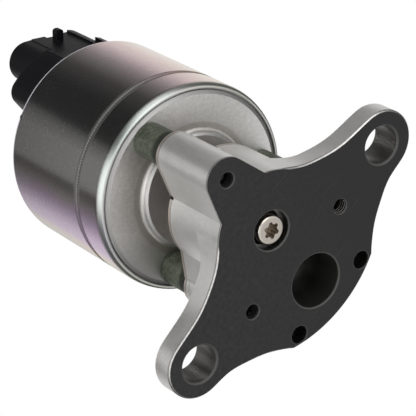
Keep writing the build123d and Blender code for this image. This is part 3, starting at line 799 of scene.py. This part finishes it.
class VALVE_OT_stage(bpy.types.Operator):
    """Sets up the camera, the pale floor, the lamps and the plain room light"""

    bl_idname = "valve.stage"
    bl_label = "Studio"

    def execute(self, context):
        studio = context.scene.valve_studio
        self.place_camera(context, studio)
        self.lay_floor(context, studio)
        self.light_room(context, studio)
        self.hang_lamps(context, studio)
        context.scene.view_settings.view_transform = "Standard"
        return {"FINISHED"}

    def place_camera(self, context, studio):
        """Stands the camera where the photograph was taken, below the gasket face."""
        data = bpy.data.cameras.new("Photo camera")
        data.sensor_fit = "HORIZONTAL"
        data.sensor_width = 36.0
        data.lens = studio.lens
        data.clip_start = 0.05
        camera = bpy.data.objects.new("Photo camera", data)
        context.scene.collection.objects.link(camera)
        place = Vector((-0.095957, -0.346627, -0.399489))
        right = Vector((0.634716, 0.524806, -0.567198))
        up = Vector((0.754358, -0.579974, 0.307528))
        back = Vector((-0.167568, -0.623063, -0.764011))
        turn = Matrix((right, up, back)).transposed().to_4x4()
        camera.matrix_world = Matrix.Translation(place) @ turn
        context.scene.camera = camera

    def lay_floor(self, context, studio):
        """Lays a pale floor under the gasket face, which is clear from below."""
        bpy.ops.object.select_all(action="DESELECT")
        bpy.ops.mesh.primitive_plane_add(size=studio.floor_size, location=(0, 0, -0.3 * MM))
        floor = context.active_object
        floor.name = "studio_floor"
        material, tree, shader, _ = start_material("Pale floor", 0.0, 0.8)
        shader.inputs["Base Color"].default_value = (0.86, 0.86, 0.86, 1.0)
        clear = add(tree, "ShaderNodeBsdfTransparent")
        surface = add(tree, "ShaderNodeNewGeometry")
        path = add(tree, "ShaderNodeLightPath")
        above = maths(tree, "SUBTRACT", 1.0, surface.outputs["Backfacing"])
        seen = times(tree, path.outputs["Is Camera Ray"], above)
        blend = self.mix_shaders(tree, seen, clear, shader)
        join(tree, blend.outputs[0], tree.nodes["Material Output"].inputs["Surface"])
        floor.data.materials.append(material)

    def mix_shaders(self, tree, factor, first, second):
        """Mixes the shaders of two nodes."""
        node = add(tree, "ShaderNodeMixShader")
        for value, socket in zip((factor, first.outputs[0], second.outputs[0]), node.inputs):
            join(tree, value, socket)
        return node

    def light_room(self, context, studio):
        """Sets a white backdrop, even light, and a room that only the valve's mirroring shows."""
        world = bpy.data.worlds.new("Studio")
        context.scene.world = world
        world.use_nodes = True
        tree = world.node_tree
        plain = tree.nodes["Background"]
        plain.inputs["Color"].default_value = (1.0, 1.0, 1.0, 1.0)
        plain.inputs["Strength"].default_value = studio.room_level
        direction = add(tree, "ShaderNodeTexCoord").outputs["Generated"]
        rise = split(tree, direction)["Z"]

        # The room is bright high up behind the valve, dark on the camera's side and pale below
        behind = across(tree, direction, VIEW_BEARING - 180)
        levels = ((0.0, 0.01), (0.26, 0.01), (0.37, 0.05), (0.5, 0.31), (0.57, 0.57),
                  (0.63, 0.83), (0.75, 1.0))
        wall = ramp(tree, remap(tree, behind, -1.0, 1.0),
                    [(stop, (level,) * 3) for stop, level in levels])
        wall = times(tree, wall, remap(tree, rise, 0.58, 0.70, 0.08, 1.0))
        beside = across(tree, direction, VIEW_BEARING - 90)
        wall = times(tree, wall, maths(tree, "MAXIMUM",
                                       remap(tree, beside, -0.05, 0.08, 1.0, 0.72),
                                       remap(tree, beside, 0.12, 0.5, 0.72, 0.98)))
        ground = remap(tree, rise, -0.45, -0.34, 0.9, 0.04)
        ceiling = remap(tree, rise, 0.93, 0.96)
        level = maths(tree, "MAXIMUM", maths(tree, "MAXIMUM", wall, ground), ceiling)
        mirrored = add(tree, "ShaderNodeBackground")
        join(tree, level, mirrored.inputs["Color"])

        white = add(tree, "ShaderNodeBackground")
        white.inputs["Color"].default_value = (1.0, 1.0, 1.0, 1.0)
        path = add(tree, "ShaderNodeLightPath").outputs
        shiny = maths(tree, "MAXIMUM", path["Is Glossy Ray"], path["Is Transmission Ray"])
        room = self.mix_shaders(tree, shiny, plain, mirrored)
        shown = self.mix_shaders(tree, path["Is Camera Ray"], room, white)
        join(tree, shown.outputs[0], tree.nodes["World Output"].inputs["Surface"])

    def hang_lamps(self, context, studio):
        """Hangs three soft lamps: over the camera, on its left and behind the left side."""
        target = Vector((0, 0, 0.045))
        lamps = (("Key lamp", 300, -15, 0.80, 0.75, 1.44, studio.key_power),
                 ("Side lamp", 220, 0, 0.75, 0.67, 0.97, studio.side_power),
                 ("Rear lamp", 224, 50, 0.75, 0.44, 0.44, studio.rear_power))
        for name, bearing, rise, distance, width, height, power in lamps:
            turn, tilt = math.radians(bearing), math.radians(rise)
            direction = Vector((math.cos(turn) * math.cos(tilt),
                                math.sin(turn) * math.cos(tilt), math.sin(tilt)))
            data = bpy.data.lights.new(name, "AREA")
            data.shape = "RECTANGLE"
            data.size, data.size_y = width, height
            data.energy = power
            lamp = bpy.data.objects.new(name, data)
            context.scene.collection.objects.link(lamp)
            lamp.location = target + direction * distance
            lamp.rotation_euler = direction.to_track_quat("Z", "Y").to_euler()


class VALVE_PT_panel(bpy.types.Panel):
    """Lists the parts, their sizes and colours"""

    bl_idname = "VALVE_PT_panel"
    bl_label = "Valve"
    bl_space_type = "VIEW_3D"
    bl_region_type = "UI"
    bl_category = "Valve"

    def draw(self, context):
        layout = self.layout
        for operator in OPERATORS:
            layout.operator(operator.bl_idname)
        scene = context.scene
        for group in (scene.valve_finishes, scene.valve_sizes, scene.valve_studio):
            for name in group.bl_rna.properties.keys():
                if name not in ("name", "rna_type"):
                    layout.prop(group, name)


OPERATORS = (VALVE_OT_groups, VALVE_OT_casting, VALVE_OT_can, VALVE_OT_end_plate, VALVE_OT_spacers,
             VALVE_OT_pintle, VALVE_OT_sensor_cap, VALVE_OT_inner_parts, VALVE_OT_threads,
             VALVE_OT_stage)
CLASSES = (ValveFinishes, ValveSizes, ValveStudio, *OPERATORS, VALVE_PT_panel)


def register():
    """Registers the classes and hangs their settings on the scene."""
    for cls in CLASSES:
        bpy.utils.register_class(cls)
    bpy.types.Scene.valve_finishes = bpy.props.PointerProperty(type=ValveFinishes)
    bpy.types.Scene.valve_sizes = bpy.props.PointerProperty(type=ValveSizes)
    bpy.types.Scene.valve_studio = bpy.props.PointerProperty(type=ValveStudio)


def unregister():
    """Takes the settings and the classes away again."""
    del bpy.types.Scene.valve_studio
    del bpy.types.Scene.valve_sizes
    del bpy.types.Scene.valve_finishes
    for cls in reversed(CLASSES):
        bpy.utils.unregister_class(cls)


def main():
    """Builds the whole picture model."""
    register()
    bpy.ops.valve.groups()
    bpy.ops.valve.casting()
    bpy.ops.valve.can()
    bpy.ops.valve.end_plate()
    bpy.ops.valve.spacers()
    bpy.ops.valve.pintle()
    bpy.ops.valve.sensor_cap()
    bpy.ops.valve.inner_parts()
    bpy.ops.valve.threads()
    bpy.ops.valve.stage()


if __name__ == "__main__":
    main()
